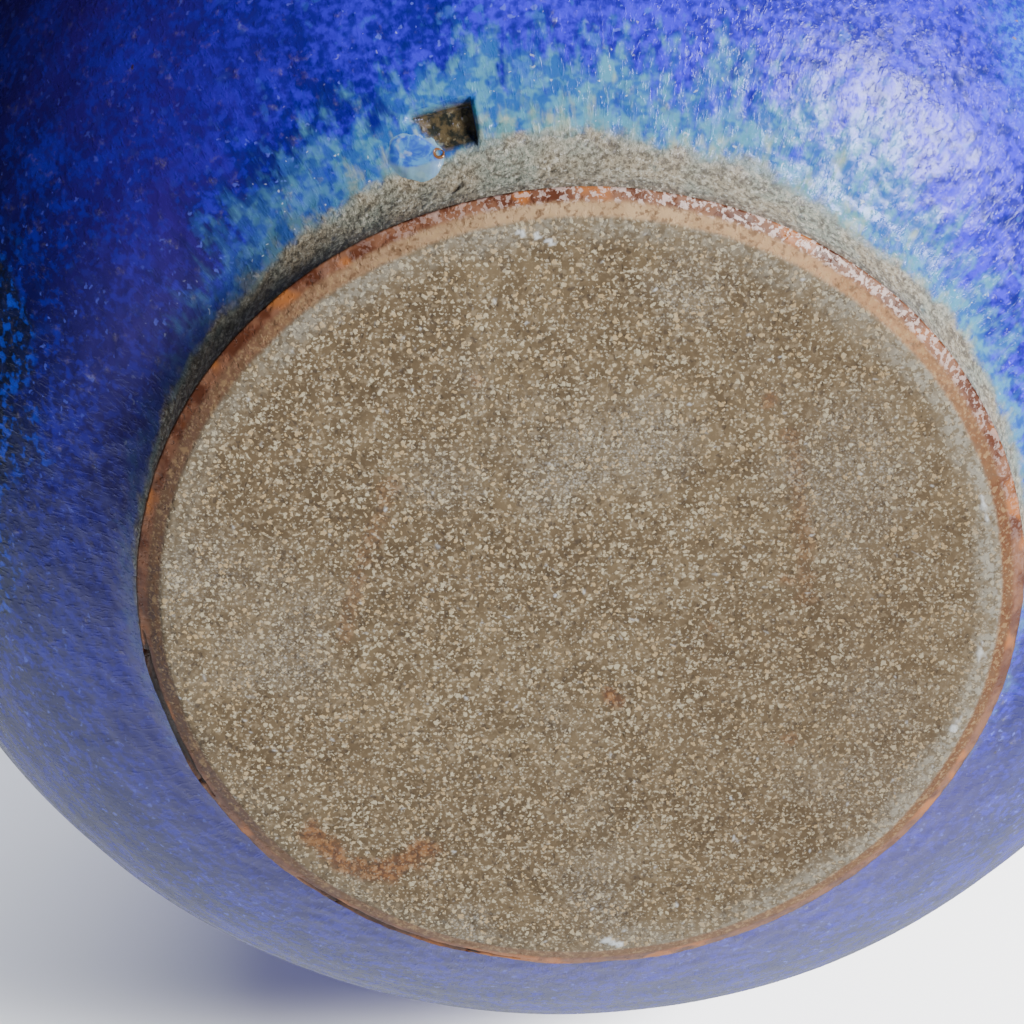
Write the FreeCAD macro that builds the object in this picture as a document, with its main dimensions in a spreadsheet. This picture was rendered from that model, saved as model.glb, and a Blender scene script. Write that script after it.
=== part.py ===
"""Stoneware pottery vase: a globular bottle form, thrown in sections that are luted together.

The vase stands on the XY plane with its axis on +Z, so the origin is the middle of its flat underside.
From the bottom up, the clay is a foot slab, a lower wall, a shoulder wall, a neck collar and a lip ring.
Four glaze layers cover it: a band over the foot, the outer coat, the liner and a pool in the seal.

Each turned piece is one half-section, revolved about the axis. The half-sections are made of arcs that
share five centres, so every layer is an offset of the next one and the pieces meet face to face.
"""

import FreeCAD, Part
import math
import os

import Sketcher

# Driving dimensions, in millimetres and degrees.
DIMENSIONS = {
    "flat_radius": 47.0,  # flat, unglazed underside
    "foot_radius": 50.0,  # foot, outside its bevel
    "bevel_height": 1.8,  # bevel from the underside to the foot's edge
    "groove_height": 0.6,  # slope of the shadow groove above the foot's edge
    "seat_height": 3.0,  # where the bare foot ends and the glaze starts
    "seat_radius": 45.0,  # foot slab, outer step of its seat
    "step_height": 6.0,  # foot slab, height of the second step
    "step_radius": 38.0,  # foot slab, inner step of its seat
    "belly_radius": 91.7,  # widest point of the vase
    "belly_height": 68.2,  # height of the widest point
    "lower_arc": 63.5,  # outline radius below the belly
    "shoulder_arc": 105.0,  # outline radius above the belly
    "neck_radius": 27.0,  # narrowest point of the neck
    "neck_arc": 26.0,  # outline radius of the neck's waist
    "collar_angle": 34.0,  # round the neck's arc, where the collar meets the lip ring
    "flare_angle": 50.0,  # round the neck's arc, where the lip starts to round over
    "wall": 5.4,  # clay wall
    "glaze": 0.8,  # glaze layer
    "spigot": 3.0,  # height of the luted spigot at the belly
    "seal_width": 10.0,  # blank seal, round the vase
    "seal_length": 6.4,  # blank seal, up the wall
    "seal_depth": 0.9,  # blank seal, below the clay's surface
    "seal_turn": 17.3,  # seal, clockwise from the front as seen from above
    "pool_width": 5.2,  # glaze pool in the seal, round the vase
    "pool_depth": 0.8,  # glaze pool, thickness
}

START, END, CENTRE = 1, 2, 3
ORIGIN = (-1, 1)
FULL_TURN = 360.0


class Size:
    """A number worked out from the sheet: its value, and the expression that keeps it bound."""

    def __init__(self, value, text):
        self.value = float(value)
        self.text = text

    def _with(self, other, sign, result):
        text = other.text if isinstance(other, Size) else repr(float(other))
        return Size(result, f"({self.text} {sign} {text})")

    def __add__(self, other):
        return self._with(other, "+", self.value + number(other))

    def __sub__(self, other):
        return self._with(other, "-", self.value - number(other))

    def __mul__(self, other):
        return self._with(other, "*", self.value * number(other))

    def __truediv__(self, other):
        return self._with(other, "/", self.value / number(other))

    def root(self):
        return Size(math.sqrt(self.value), f"sqrt({self.text})")

    def cosine(self):
        return Size(math.cos(math.radians(self.value)), f"cos({self.text})")

    def sine(self):
        return Size(math.sin(math.radians(self.value)), f"sin({self.text})")


def number(size):
    return size.value if isinstance(size, Size) else float(size)


document = FreeCAD.newDocument("stoneware_vase")
sheet = document.addObject("Spreadsheet::Sheet", "dimensions")
for row, (alias, dimension) in enumerate(DIMENSIONS.items(), start=1):
    sheet.set(f"A{row}", alias)
    sheet.set(f"B{row}", str(dimension))
    sheet.setAlias(f"B{row}", alias)
document.recompute()


def dim(alias):
    """A driving dimension, read back from the sheet."""
    return Size(getattr(sheet, alias), f"dimensions.{alias}")


AXIS = Size(0.0, "0")
foot = dim("foot_radius")
seat = dim("seat_height")
glaze = dim("glaze")
wall = dim("wall")
belly = dim("belly_radius")
belly_height = dim("belly_height")
lower_arc = dim("lower_arc")
shoulder_arc = dim("shoulder_arc")
neck_arc = dim("neck_arc")

# How deep each surface lies under the outside of the glaze.
OUTSIDE = Size(0.0, "0")
CLAY_OUTSIDE = glaze
CLAY_INSIDE = glaze + wall
INSIDE = glaze + wall + glaze

# ---------------------------------------------------------------------------
# The outline: five centres, and the points where one arc runs into the next
# ---------------------------------------------------------------------------

lower_centre = (belly - lower_arc, belly_height)
shoulder_centre = (belly - shoulder_arc, belly_height)


def find_hollow_arc():
    """Radius of the hollow above the foot: upright at the foot's edge, and tangent to the lower arc."""
    across = foot - lower_centre[0]
    up = belly_height - seat
    return (across * across + up * up - lower_arc * lower_arc) / ((lower_arc - across) * 2)


def find_neck_rise():
    """Height of the neck's centre above the belly, for a neck arc tangent to the shoulder arc."""
    across = dim("neck_radius") + neck_arc - shoulder_centre[0]
    reach = shoulder_arc + neck_arc
    return (reach * reach - across * across).root()


hollow_arc = find_hollow_arc()
hollow_centre = (foot + hollow_arc, seat)
neck_centre = (dim("neck_radius") + neck_arc, belly_height + find_neck_rise())


def between(start, end, share):
    """The point at that share of the way from start to end."""
    return tuple(a + (b - a) * share for a, b in zip(start, end))


def hollow_end(depth):
    """Where the hollow above the foot runs into the lower arc."""
    return between(lower_centre, hollow_centre, (lower_arc - depth) / (lower_arc + hollow_arc))


def shoulder_end(depth):
    """Where the shoulder runs into the neck's waist."""
    return between(shoulder_centre, neck_centre, (shoulder_arc - depth) / (shoulder_arc + neck_arc))


def neck_point(angle, depth):
    """A point of the neck, at an angle above its waist."""
    radius = neck_arc + depth
    return (neck_centre[0] - radius * angle.cosine(), neck_centre[1] + radius * angle.sine())


def belly_point(depth):
    return (belly - depth, belly_height)


def inside_at_radius(radius):
    """The point of the clay's inside on the lower arc, at a distance from the axis."""
    arc = lower_arc - CLAY_INSIDE
    across = radius - lower_centre[0]
    return (radius, belly_height - (arc * arc - across * across).root())


def inside_at_height(height):
    """The point of the clay's inside on the shoulder arc, at a height."""
    arc = shoulder_arc - CLAY_INSIDE
    up = height - belly_height
    return (shoulder_centre[0] + (arc * arc - up * up).root(), height)


def floor_point(across, depth):
    """A point of the vase's level floor inside."""
    return (across, belly_height - lower_arc + depth)


collar = dim("collar_angle")
flare = dim("flare_angle")
lip_centre = neck_point(flare, glaze + wall / 2)


def crest(radius):
    """The point of the lip furthest along the neck's curve."""
    return (lip_centre[0] + radius * flare.sine(), lip_centre[1] + radius * flare.cosine())


# ---------------------------------------------------------------------------
# Half-sections
# ---------------------------------------------------------------------------


class Section:
    """A closed half-section in its own body's XZ plane, drawn edge by edge from a first point."""

    def __init__(self, name, point):
        self.body = document.addObject("PartDesign::Body", name)
        self.body.Label = name
        self.sketch = self.body.newObject("Sketcher::SketchObject", f"{name}_section")
        planes = {feature.Role: feature for feature in self.body.Origin.OriginFeatures}
        self.sketch.AttachmentSupport = [(planes["XZ_Plane"], "")]
        self.sketch.MapMode = "FlatFace"
        self.first = point
        self.last = point
        self.opening = None
        self.tip = None

    def line_to(self, point, bind="xy"):
        """A straight edge to a point. bind says which of its coordinates are bound to the sheet."""
        edge = self.sketch.addGeometry(Part.LineSegment(flat(self.last), flat(point)))
        self._join((edge, START), (edge, END), point, bind)

    def arc_to(self, point, centre, bind="y"):
        """A round edge to a point, the short way round a centre."""
        a, b, c = flat(self.last), flat(point), flat(centre)
        clockwise = (a - c).cross(b - c).z < 0
        first, last = (b, a) if clockwise else (a, b)
        circle = Part.Circle(c, FreeCAD.Vector(0, 0, 1), a.distanceToPoint(c))
        angles = [math.atan2(p.y - c.y, p.x - c.x) for p in (first, last)]
        edge = self.sketch.addGeometry(Part.ArcOfCircle(circle, *angles))
        self._bind((edge, CENTRE), centre, "xy")
        ends = ((edge, END), (edge, START)) if clockwise else ((edge, START), (edge, END))
        self._join(*ends, point, bind)

    def _join(self, start, end, point, bind):
        if self.tip is None:
            self.opening = start
        else:
            self._constrain("Coincident", *self.tip, *start)
        if point is self.first:
            self._constrain("Coincident", *end, *self.opening)
        self._bind(end, point, bind)
        self.tip = end
        self.last = point

    def _constrain(self, *parts):
        return self.sketch.addConstraint(Sketcher.Constraint(*parts))

    def _bind(self, end, point, bind):
        """Ties a point's coordinates to the sheet, as distances from the origin."""
        for letter, size in zip("xy", point):
            if letter not in bind:
                continue
            kind = "DistanceX" if letter == "x" else "DistanceY"
            made = self._constrain(kind, *ORIGIN, *end, size.value)
            self.sketch.setExpression(f"Constraints[{made}]", size.text)

    def revolve(self):
        """Turns the finished section about the vase's axis, and gives back the body."""
        turned = self.body.newObject("PartDesign::Revolution", f"{self.body.Name}_turned")
        turned.Profile = self.sketch
        turned.ReferenceAxis = (self.sketch, ["V_Axis"])
        turned.Angle = FULL_TURN
        document.recompute()
        if not self.sketch.FullyConstrained:
            raise RuntimeError(f"{self.sketch.Name} isn't fully constrained")
        return self.body


def flat(point):
    return FreeCAD.Vector(point[0].value, point[1].value, 0)


# ---------------------------------------------------------------------------
# Clay
# ---------------------------------------------------------------------------


def make_foot_slab():
    """The bare disc: flat underside, bevelled edge, stepped seat, and the level floor inside."""
    start = (AXIS, AXIS)
    edge = foot - glaze
    floor_edge = floor_point(lower_centre[0], CLAY_INSIDE)
    section = Section("foot_slab", start)
    section.line_to((dim("flat_radius"), AXIS))
    section.line_to((foot, dim("bevel_height")))
    section.line_to((edge, dim("bevel_height") + dim("groove_height")))
    section.line_to((edge, seat))
    section.line_to((dim("seat_radius"), seat))
    section.line_to((dim("seat_radius"), dim("step_height")))
    section.line_to((dim("step_radius"), dim("step_height")))
    section.line_to(inside_at_radius(dim("step_radius")))
    section.arc_to(floor_edge, lower_centre, bind="x")
    section.line_to(floor_point(AXIS, CLAY_INSIDE))
    section.line_to(start, bind="xy")
    return section.revolve()


def make_lower_wall(name):
    """From the foot slab's stepped seat to the spigot at the belly."""
    start = (foot - glaze, seat)
    middle = belly - glaze - wall / 2
    top = belly_height + dim("spigot")
    section = Section(name, start)
    section.arc_to(hollow_end(CLAY_OUTSIDE), hollow_centre)
    section.arc_to(belly_point(CLAY_OUTSIDE), lower_centre)
    section.line_to((middle, belly_height))
    section.line_to((middle, top))
    section.line_to(inside_at_height(top))
    section.arc_to(belly_point(CLAY_INSIDE), shoulder_centre)
    section.arc_to(inside_at_radius(dim("step_radius")), lower_centre, bind="x")
    section.line_to((dim("step_radius"), dim("step_height")))
    section.line_to((dim("seat_radius"), dim("step_height")))
    section.line_to((dim("seat_radius"), seat))
    section.line_to(start)
    return section.revolve()


def make_shoulder_wall():
    """From the rebate at the belly to the mitred seat of the neck."""
    middle = belly - glaze - wall / 2
    top = belly_height + dim("spigot")
    start = (middle, belly_height)
    section = Section("shoulder_wall", start)
    section.line_to(belly_point(CLAY_OUTSIDE))
    section.arc_to(shoulder_end(CLAY_OUTSIDE), shoulder_centre)
    section.line_to(shoulder_end(CLAY_INSIDE))
    section.arc_to(inside_at_height(top), shoulder_centre)
    section.line_to((middle, top))
    section.line_to(start)
    return section.revolve()


def make_neck_collar():
    """The waisted neck, mitred to the shoulder below and to the lip ring above."""
    start = shoulder_end(CLAY_OUTSIDE)
    section = Section("neck_collar", start)
    section.arc_to(neck_point(collar, CLAY_OUTSIDE), neck_centre)
    section.line_to(neck_point(collar, CLAY_INSIDE))
    section.arc_to(shoulder_end(CLAY_INSIDE), neck_centre)
    section.line_to(start)
    return section.revolve()


def make_lip_ring():
    """The flared lip with its rounded rim."""
    start = neck_point(collar, CLAY_OUTSIDE)
    section = Section("lip_ring", start)
    section.arc_to(neck_point(flare, CLAY_OUTSIDE), neck_centre)
    section.arc_to(crest(wall / 2), lip_centre)
    section.arc_to(neck_point(flare, CLAY_INSIDE), lip_centre)
    section.arc_to(neck_point(collar, CLAY_INSIDE), neck_centre)
    section.line_to(start)
    return section.revolve()


# ---------------------------------------------------------------------------
# Glaze
# ---------------------------------------------------------------------------


def make_foot_glaze(name):
    """The thin glaze over the hollow above the foot."""
    start = (foot - glaze, seat)
    section = Section(name, start)
    section.line_to((foot, seat))
    section.arc_to(hollow_end(OUTSIDE), hollow_centre)
    section.line_to(hollow_end(CLAY_OUTSIDE), bind="y")
    section.arc_to(start, hollow_centre, bind="xy")
    return section.revolve()


def make_glaze_coat(name):
    """The outer glaze, from the hollow above the foot to the crest of the lip."""
    start = hollow_end(CLAY_OUTSIDE)
    section = Section(name, start)
    section.line_to(hollow_end(OUTSIDE))
    section.arc_to(belly_point(OUTSIDE), lower_centre)
    section.arc_to(shoulder_end(OUTSIDE), shoulder_centre)
    section.arc_to(neck_point(flare, OUTSIDE), neck_centre)
    section.arc_to(crest(wall / 2 + glaze), lip_centre)
    section.line_to(crest(wall / 2))
    section.arc_to(neck_point(flare, CLAY_OUTSIDE), lip_centre)
    section.arc_to(shoulder_end(CLAY_OUTSIDE), neck_centre)
    section.arc_to(belly_point(CLAY_OUTSIDE), shoulder_centre)
    section.arc_to(start, lower_centre)
    return section.revolve()


def make_liner_glaze():
    """The glaze inside, from the floor to the crest of the lip."""
    start = floor_point(AXIS, CLAY_INSIDE)
    section = Section("liner_glaze", start)
    section.line_to(floor_point(lower_centre[0], CLAY_INSIDE))
    section.arc_to(belly_point(CLAY_INSIDE), lower_centre)
    section.arc_to(shoulder_end(CLAY_INSIDE), shoulder_centre)
    section.arc_to(neck_point(flare, CLAY_INSIDE), neck_centre)
    section.arc_to(crest(wall / 2), lip_centre)
    section.line_to(crest(wall / 2 + glaze))
    section.arc_to(neck_point(flare, INSIDE), lip_centre)
    section.arc_to(shoulder_end(INSIDE), neck_centre)
    section.arc_to(belly_point(INSIDE), shoulder_centre)
    section.arc_to(floor_point(lower_centre[0], INSIDE), lower_centre, bind="x")
    section.line_to(floor_point(AXIS, INSIDE))
    section.line_to(start)
    return section.revolve()


# ---------------------------------------------------------------------------
# The blank seal near the foot
# ---------------------------------------------------------------------------


def make_seal_block(name, width, length, height, left, bottom):
    """A block in the seal's own axes: X round the vase, Y up the wall, Z out of the surface."""
    block = document.addObject("Part::Box", name)
    block.setExpression("Length", width.text)
    block.setExpression("Width", length.text)
    block.setExpression("Height", height.text)
    across, up = (size.value for size in hollow_end(OUTSIDE))
    below_level = math.degrees(math.atan2(belly_height.value - up, across - lower_centre[0].value))
    tilt = FreeCAD.Placement(
        FreeCAD.Vector(0, -across, up), FreeCAD.Rotation(FreeCAD.Vector(1, 0, 0), 90 + below_level)
    )
    turn = FreeCAD.Rotation(FreeCAD.Vector(0, 0, 1), -dim("seal_turn").value)
    corner = FreeCAD.Vector(left.value, -length.value / 2, bottom.value)
    corner_placement = FreeCAD.Placement(corner, FreeCAD.Rotation())
    block.Placement = FreeCAD.Placement(FreeCAD.Vector(), turn) * tilt * corner_placement
    document.recompute()
    return block


def press_seal(name, turned, block):
    """Cuts the seal's block out of a turned piece, and checks that it took something away."""
    pressed = document.addObject("Part::Cut", name)
    pressed.Label = name
    pressed.Base = turned
    pressed.Tool = block
    document.recompute()
    if pressed.Shape.Volume >= turned.Shape.Volume:
        raise RuntimeError(f"the seal cuts nothing from {name}")
    return pressed


seal_width = dim("seal_width")
seal_length = dim("seal_length")
seal_floor = AXIS - glaze - dim("seal_depth")
seal_left = AXIS - seal_width / 2
clear_of_surface = glaze + glaze

seal_block = make_seal_block(
    "seal_block", seal_width, seal_length, clear_of_surface - seal_floor, seal_left, seal_floor
)
seal_pool = make_seal_block(
    "seal_glaze_pool", dim("pool_width"), seal_length, dim("pool_depth"), seal_left, seal_floor
)

pieces = [
    make_foot_slab(),
    press_seal("lower_wall", make_lower_wall("lower_wall_turned"), seal_block),
    make_shoulder_wall(),
    make_neck_collar(),
    make_lip_ring(),
    press_seal("foot_glaze_band", make_foot_glaze("foot_glaze_turned"), seal_block),
    press_seal("glaze_coat", make_glaze_coat("glaze_coat_turned"), seal_block),
    make_liner_glaze(),
    seal_pool,
]

# ---------------------------------------------------------------------------
# Checks, and one STEP file for each piece
# ---------------------------------------------------------------------------

document.recompute()
for item in document.Objects:
    if {"Invalid", "Error"} & set(item.State):
        raise RuntimeError(f"{item.Name} failed: {item.State}")

os.makedirs("parts", exist_ok=True)
for piece in pieces:
    shape = piece.Shape
    if shape.isNull() or not shape.isValid() or len(shape.Solids) != 1:
        raise RuntimeError(f"{piece.Label} isn't one valid solid")
    shape.exportStep(f"parts/{piece.Label}.step")
    box = shape.BoundBox
    print(f"{piece.Label}: {shape.Volume:.0f} mm3, z {box.ZMin:.2f} to {box.ZMax:.2f}, across {box.XLength:.2f}")
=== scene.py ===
"""Looks of the stoneware vase: displaced clay and glaze skins, their materials, and the studio.

The vase stands upright in the frame. The camera looks up at its bare foot from below and in front, as one
looks at a vase that lies on its side with its foot towards the viewer. So the pale table is an upright
sheet behind the vase, and the pale floor is under it. Both show one side only, and let light through.

Lengths are in metres in the frame, and in millimetres inside the materials. A turn goes about the axis
from the front, -Y, towards the right, +X.
"""

import math

import bpy
import numpy as np
from mathutils import Matrix, Vector, noise


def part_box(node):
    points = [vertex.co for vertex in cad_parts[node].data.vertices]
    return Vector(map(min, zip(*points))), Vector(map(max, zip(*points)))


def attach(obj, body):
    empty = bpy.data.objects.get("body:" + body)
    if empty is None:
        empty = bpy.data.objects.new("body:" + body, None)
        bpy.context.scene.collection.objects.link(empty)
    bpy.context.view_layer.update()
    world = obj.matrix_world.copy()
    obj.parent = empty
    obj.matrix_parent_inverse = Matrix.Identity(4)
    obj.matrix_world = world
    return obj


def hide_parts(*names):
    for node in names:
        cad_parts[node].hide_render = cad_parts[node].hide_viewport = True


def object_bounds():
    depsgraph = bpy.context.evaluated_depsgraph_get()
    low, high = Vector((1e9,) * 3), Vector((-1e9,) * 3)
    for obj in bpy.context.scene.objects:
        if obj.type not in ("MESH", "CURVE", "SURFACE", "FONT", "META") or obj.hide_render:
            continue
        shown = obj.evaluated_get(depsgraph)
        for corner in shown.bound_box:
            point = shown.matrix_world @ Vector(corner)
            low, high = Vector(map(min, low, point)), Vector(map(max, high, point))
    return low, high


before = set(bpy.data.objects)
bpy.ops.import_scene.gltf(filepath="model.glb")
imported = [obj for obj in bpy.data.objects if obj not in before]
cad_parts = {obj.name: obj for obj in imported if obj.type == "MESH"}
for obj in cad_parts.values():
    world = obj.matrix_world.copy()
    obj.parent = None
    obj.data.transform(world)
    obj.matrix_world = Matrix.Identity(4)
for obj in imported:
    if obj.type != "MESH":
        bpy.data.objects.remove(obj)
cad_low, cad_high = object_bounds()

MM = 0.001
TAU = 2 * math.pi

# The outline, from the frame and from the design's own arcs.
GLAZE = 0.8 * MM
WALL = 5.4 * MM
LOWER_ARC = 63.5 * MM
SHOULDER_ARC = 105 * MM
NECK_ARC = 26 * MM
NECK_RADIUS = 27 * MM
FLARE_TURN = math.radians(50)
FLAT_RADIUS = 47 * MM
BEVEL_HEIGHT = 1.8 * MM
GROOVE_TOP = 2.4 * MM
SEAT_STEPS = ((45 * MM, 3 * MM), (45 * MM, 6 * MM), (38 * MM, 6 * MM))
SEAL_TURN = math.radians(17.3)
SEAL_WIDTH = 10 * MM
SEAL_LENGTH = 6.4 * MM

FOOT_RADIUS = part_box("foot_slab")[1].x
SEAT_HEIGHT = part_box("foot_glaze_band")[0].z
BELLY_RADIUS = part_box("glaze_coat")[1].x
BELLY_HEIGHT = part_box("shoulder_wall")[0].z
BOTTOM_HEIGHT = BELLY_HEIGHT - LOWER_ARC


class Arc:
    """One arc of the outline. outward is 1 where the surface bulges and -1 where it is hollow."""

    def __init__(self, centre, radius, start, end, outward):
        self.centre = centre
        self.radius = radius
        self.start = start
        self.end = end
        self.outward = outward
        self.length = radius * abs(end - start)

    def at(self, share, depth):
        """Radius, height and outward normal at a share of the arc, that deep under the surface."""
        angle = self.start + (self.end - self.start) * share
        radius = self.radius - self.outward * depth
        along, up = math.cos(angle), math.sin(angle)
        place = (self.centre[0] + radius * along, self.centre[1] + radius * up)
        return (*place, self.outward * along, self.outward * up)


def outline_arcs():
    """The five arcs of the outside: hollow over the foot, lower body, shoulder, neck and half the lip."""
    lower = (BELLY_RADIUS - LOWER_ARC, BELLY_HEIGHT)
    shoulder = (BELLY_RADIUS - SHOULDER_ARC, BELLY_HEIGHT)
    across = FOOT_RADIUS - lower[0]
    up = BELLY_HEIGHT - SEAT_HEIGHT
    hollow_radius = (across**2 + up**2 - LOWER_ARC**2) / (2 * (LOWER_ARC - across))
    hollow = (FOOT_RADIUS + hollow_radius, SEAT_HEIGHT)
    foot_turn = math.atan2(up, hollow[0] - lower[0])
    neck_across = NECK_RADIUS + NECK_ARC
    neck_turn = math.acos((neck_across - shoulder[0]) / (SHOULDER_ARC + NECK_ARC))
    neck = (neck_across, BELLY_HEIGHT + (SHOULDER_ARC + NECK_ARC) * math.sin(neck_turn))
    lip_reach = NECK_ARC + GLAZE + WALL / 2
    lip = (neck[0] - lip_reach * math.cos(FLARE_TURN), neck[1] + lip_reach * math.sin(FLARE_TURN))
    return [
        Arc(hollow, hollow_radius, math.pi, math.pi - foot_turn, -1),
        Arc(lower, LOWER_ARC, -foot_turn, 0, 1),
        Arc(shoulder, SHOULDER_ARC, 0, neck_turn, 1),
        Arc(neck, NECK_ARC, math.pi + neck_turn, math.pi - FLARE_TURN, -1),
        Arc(lip, WALL / 2 + GLAZE, -FLARE_TURN, math.pi / 2 - FLARE_TURN, 1),
    ]


ARCS = outline_arcs()
HOLLOW, LOWER, SHOULDER, NECK, LIP = ARCS
LOWER_FROM_FLOOR = Arc(LOWER.centre, LOWER_ARC, -math.pi / 2, 0, 1)
OUTLINE_LENGTH = sum(arc.length for arc in ARCS)


def outline(distance):
    """Radius, height and normal of the outside, at a distance up the outline from the foot's edge."""
    for arc in ARCS:
        if distance <= arc.length or arc is LIP:
            return arc.at(min(distance / arc.length, 1), 0)
        distance -= arc.length


SEAL_RADIUS = outline(HOLLOW.length)[0]


def smooth_step(value, low, high):
    """0 below low, 1 above high, and a smooth rise between them."""
    share = np.clip((value - low) / (high - low), 0, 1)
    return share * share * (3 - 2 * share)


def rough(points, size, octaves=1, seed=0):
    """Noise from about -1 to 1 at every point of an array, with features of about that size."""
    shift = Vector((seed, seed * 1.7, seed * 2.3))
    values = [noise.fractal(Vector(p) / size + shift, 1, 2, octaves) for p in points.reshape(-1, 3)]
    return np.array(values).reshape(points.shape[:-1])


def turn_of(points):
    """Each point's turn in radians."""
    return np.arctan2(points[..., 0], -points[..., 1])


def make_object(name, points, faces, smooth=True):
    """A mesh object from an array of points and a list of faces."""
    mesh = bpy.data.meshes.new(name)
    mesh.from_pydata([tuple(p) for p in points], [], [tuple(f) for f in faces])
    mesh.validate()
    mesh.shade_smooth() if smooth else mesh.shade_flat()
    made = bpy.data.objects.new(name, mesh)
    bpy.context.scene.collection.objects.link(made)
    return made


def place_on(outline_points, turns):
    """Points and outward normals of a grid: one row for each outline point, one column for each turn."""
    radius, height, along, up = (np.array(v)[:, None] for v in zip(*outline_points))
    right, front = np.sin(turns), -np.cos(turns)
    level = np.ones_like(turns)
    points = np.stack([radius * right, radius * front, height * level], -1)
    normals = np.stack([along * right, along * front, up * level], -1)
    return points, normals


def turned_solid(name, rings, low_pole, high_pole):
    """A closed solid of revolution from its rings, with a point on the axis at each end."""
    rows, columns = rings.shape[:2]
    points = np.concatenate([rings.reshape(-1, 3), [low_pole, high_pole]])
    row = np.arange(rows - 1)[:, None] * columns
    here = np.arange(columns)
    there = (here + 1) % columns
    quads = np.stack([row + here, row + there, row + columns + there, row + columns + here], -1)
    low = np.full(columns, rows * columns)
    last = (rows - 1) * columns
    faces = quads.reshape(-1, 4).tolist()
    faces += np.stack([low, there, here], -1).tolist()
    faces += np.stack([low + 1, last + here, last + there], -1).tolist()
    return make_object(name, points, faces)


def turned_shell(name, outer, inner, kept=None):
    """A closed layer between two grids of points. kept says which cells of the grid are there."""
    rows, columns = outer.shape[:2]
    if kept is None:
        kept = np.ones((rows - 1, columns), bool)
    index = np.arange(rows * columns).reshape(rows, columns)
    under = index + rows * columns
    ahead = np.roll(index, -1, axis=1)
    ahead_under = np.roll(under, -1, axis=1)

    def quads(mask, *corners):
        return np.stack([c[mask] for c in corners], -1).tolist()

    faces = quads(kept, index[:-1], ahead[:-1], ahead[1:], index[1:])
    faces += quads(kept, under[:-1], under[1:], ahead_under[1:], ahead_under[:-1])
    gap = np.zeros((1, columns), bool)
    below = np.concatenate([gap, kept[:-1]])
    above = np.concatenate([kept[1:], gap])
    before = np.roll(kept, 1, axis=1)
    after = np.roll(kept, -1, axis=1)
    faces += quads(kept & ~below, index[:-1], under[:-1], ahead_under[:-1], ahead[:-1])
    faces += quads(kept & ~above, index[1:], ahead[1:], ahead_under[1:], under[1:])
    faces += quads(kept & ~before, index[:-1], index[1:], under[1:], under[:-1])
    faces += quads(kept & ~after, ahead[:-1], ahead_under[:-1], ahead_under[1:], ahead[1:])
    points = np.concatenate([outer.reshape(-1, 3), inner.reshape(-1, 3)])
    used = np.unique(np.array(faces))
    renumbered = np.zeros(len(points), int)
    renumbered[used] = np.arange(len(used))
    return make_object(name, points[used], renumbered[np.array(faces)].tolist())


def grid_normals(points):
    """Outward normals of a grid whose columns close into rings."""
    around = np.roll(points, -1, axis=1) - np.roll(points, 1, axis=1)
    normals = np.cross(around, np.gradient(points, axis=0))
    return normals / np.linalg.norm(normals, axis=-1, keepdims=True)


def join_smoothly(made, normals):
    """Gives a shell the normals of the whole grid it was cut from, so that no seam shows."""
    outward = normals.reshape(-1, 3)
    made.data.normals_split_custom_set_from_vertices([*outward, *-outward])


def steps(start, end, size_at):
    """Distances from start to end, with a step size that depends on where the step is."""
    places = [start]
    while places[-1] < end:
        places.append(places[-1] + size_at(places[-1]))
    return start + (np.array(places) - start) * (end - start) / (places[-1] - start)


def snap(values, targets):
    """Moves the nearest of the values onto each target."""
    moved = values.copy()
    for target in targets:
        moved[np.abs(moved - target).argmin()] = target
    return np.sort(moved)


# The glaze skins.

SKIN_COLUMNS = 440
FRONT_CROWDING = 0.4
FINEST_STEP = 0.36 * MM
WIDEST_STEP = 3.6 * MM
SEAL_BORDER = 0.25 * MM
SEAL_DEPTH = 1.36
RIDGE_SPACING = 7 * MM

# Pits that burst in the thin glaze: turn in degrees, height in mm, radius in mm.
BAND_PITS = (
    (-16, 5.9, 0.7),
    (-8.5, 5.4, 0.45),
    (-4, 6.3, 0.6),
    (-5.5, 5.6, 0.4),
    (26, 6, 0.5),
    (-10, 10.4, 0.3),
)


def skin_turns():
    """Column turns: closer together at the front, with two pairs of columns at the seal's sides."""
    even = np.linspace(-math.pi, math.pi, SKIN_COLUMNS, endpoint=False)
    turns = even - FRONT_CROWDING * np.sin(even)
    half = math.asin(SEAL_WIDTH / 2 / SEAL_RADIUS)
    border = SEAL_BORDER / SEAL_RADIUS
    edges = [-SEAL_TURN + side * (half - extra) for side in (-1, 1) for extra in (0, border)]
    return snap(turns, edges)


def seal_dip(points, turn, distance):
    """How deep the seal is, in mm. Its right and upper edges are crisp. The left is full of glaze."""
    across = (turn + SEAL_TURN) * SEAL_RADIUS / MM
    up = (distance - HOLLOW.length) / MM
    half_width, half_length, border = SEAL_WIDTH / 2 / MM, SEAL_LENGTH / 2 / MM, SEAL_BORDER / MM
    right = 1 - smooth_step(across, half_width - border, half_width)
    top = 1 - smooth_step(up, half_length - border, half_length)
    worn = 0.5 * rough(points, 1.6 * MM, 2, 14)
    left = smooth_step(across + 0.7 * worn + 0.5 * up, -1.2, 0.5)
    bottom = smooth_step(up + 0.5 * worn, -3.2, 0.2)
    return right * top * left * bottom * (SEAL_DEPTH + 0.1 * rough(points, 0.7 * MM, 2, 15))


def glaze_edge(points, distance):
    """0 where the glaze is thin and 1 where it is thick, with an uneven edge between."""
    turn = turn_of(points)
    front = np.exp(-((turn + 0.05) ** 2) / 0.35)
    left = np.exp(-((turn + 1.6) ** 2) / 0.5)
    uneven = 1.2 * rough(points, 15 * MM, 2, 3) + 0.9 * rough(points, 3 * MM, 2, 9)
    edge = (5.2 + uneven + 2.2 * front - 1.6 * left) * MM
    return smooth_step(distance, edge - 1.5 * MM, edge + 1.4 * MM)


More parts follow.
